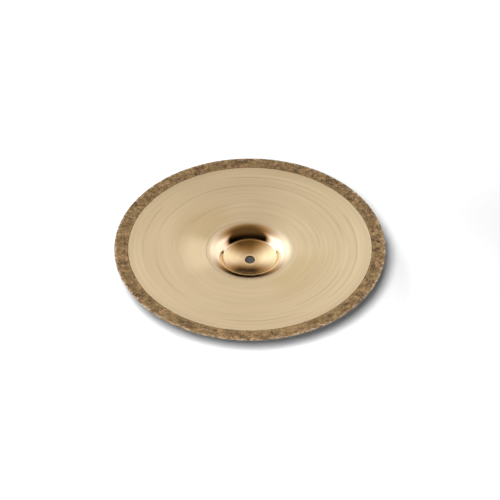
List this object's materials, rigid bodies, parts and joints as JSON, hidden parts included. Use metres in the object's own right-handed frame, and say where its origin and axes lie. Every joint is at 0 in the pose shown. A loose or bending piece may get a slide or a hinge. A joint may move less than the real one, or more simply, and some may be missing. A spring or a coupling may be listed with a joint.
{
  "type": "hi-hat cymbal",
  "caption": "Bottom hi-hat cymbal: a dished bronze disc with a pressed bell, a lathed bow, a raw hammered edge ring and a central rod hole.",
  "frame": {"origin": "on the cymbal's axis, at the flat seat on the outside of the bell, which is the lowest face as the cymbal lies with its inside up", "axes": "+Z along the rod hole, out of the cymbal's hollow inside; X and Y are alike, because the cymbal is turned about Z"},
  "size_m": [0.356, 0.356, 0.0347],
  "materials": {
    "bronze": "turned on the bow and underside, brighter in the bell, raw and mottled brown on the edge ring"
  },
  "bodies": {
    "root": {"cymbal": "bronze"}
  },
  "joints": []
}
